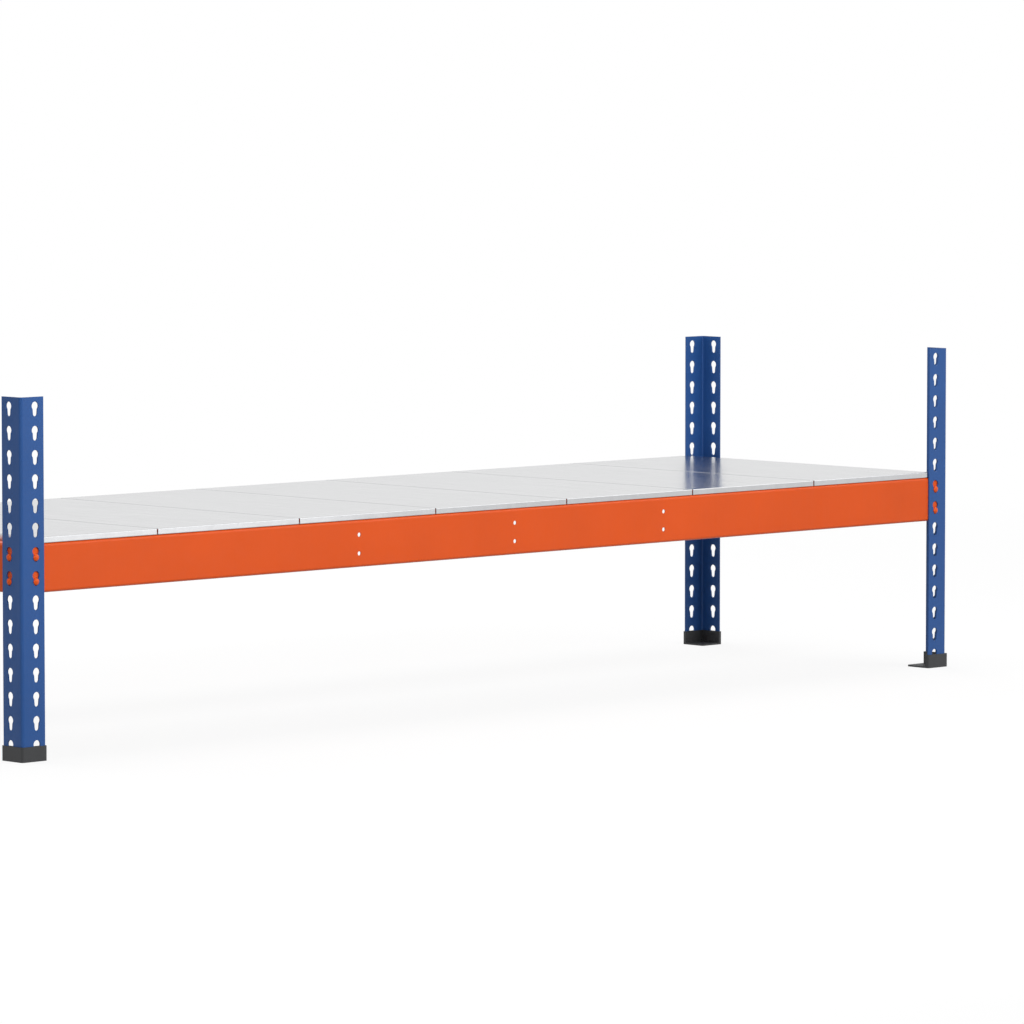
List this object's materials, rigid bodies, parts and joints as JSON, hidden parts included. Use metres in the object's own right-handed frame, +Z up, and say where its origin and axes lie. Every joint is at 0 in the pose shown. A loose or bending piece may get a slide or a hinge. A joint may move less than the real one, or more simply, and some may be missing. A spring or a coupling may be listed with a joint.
{
  "type": "wide span shelf",
  "caption": "Boltless wide span shelf: keyhole angle posts in feet carry hooked channel beams and a deck of folded zinc-plated panels, open all round.",
  "frame": {"origin": "on the floor, at the middle of the bay", "axes": "+X along the width to the right as seen from the front, +Y from the front to the rear, +Z up"},
  "size_m": [2.159, 0.621, 0.5745],
  "materials": {
    "blue_paint": "smooth blue powder coat, satin",
    "orange_paint": "smooth orange powder coat, satin",
    "zinc_sheet": "bright zinc-plated sheet with faint spangle",
    "foot_plastic": "fine-grained black moulded plastic"
  },
  "bodies": {
    "root": {"front_left_post": "blue_paint", "front_right_post": "blue_paint", "rear_left_post": "blue_paint", "rear_right_post": "blue_paint", "front_left_foot": "foot_plastic", "front_right_foot": "foot_plastic", "rear_left_foot": "foot_plastic", "rear_right_foot": "foot_plastic", "front_beam": "orange_paint", "rear_beam": "orange_paint", "left_side_beam": "orange_paint", "right_side_beam": "orange_paint", "front_beam_studs": "orange_paint", "rear_beam_studs": "orange_paint", "left_side_beam_studs": "orange_paint", "right_side_beam_studs": "orange_paint", "deck_panel_1": "zinc_sheet", "deck_panel_2": "zinc_sheet", "deck_panel_3": "zinc_sheet", "deck_panel_4": "zinc_sheet", "deck_panel_5": "zinc_sheet", "deck_panel_6": "zinc_sheet", "deck_panel_7": "zinc_sheet"}
  },
  "joints": []
}
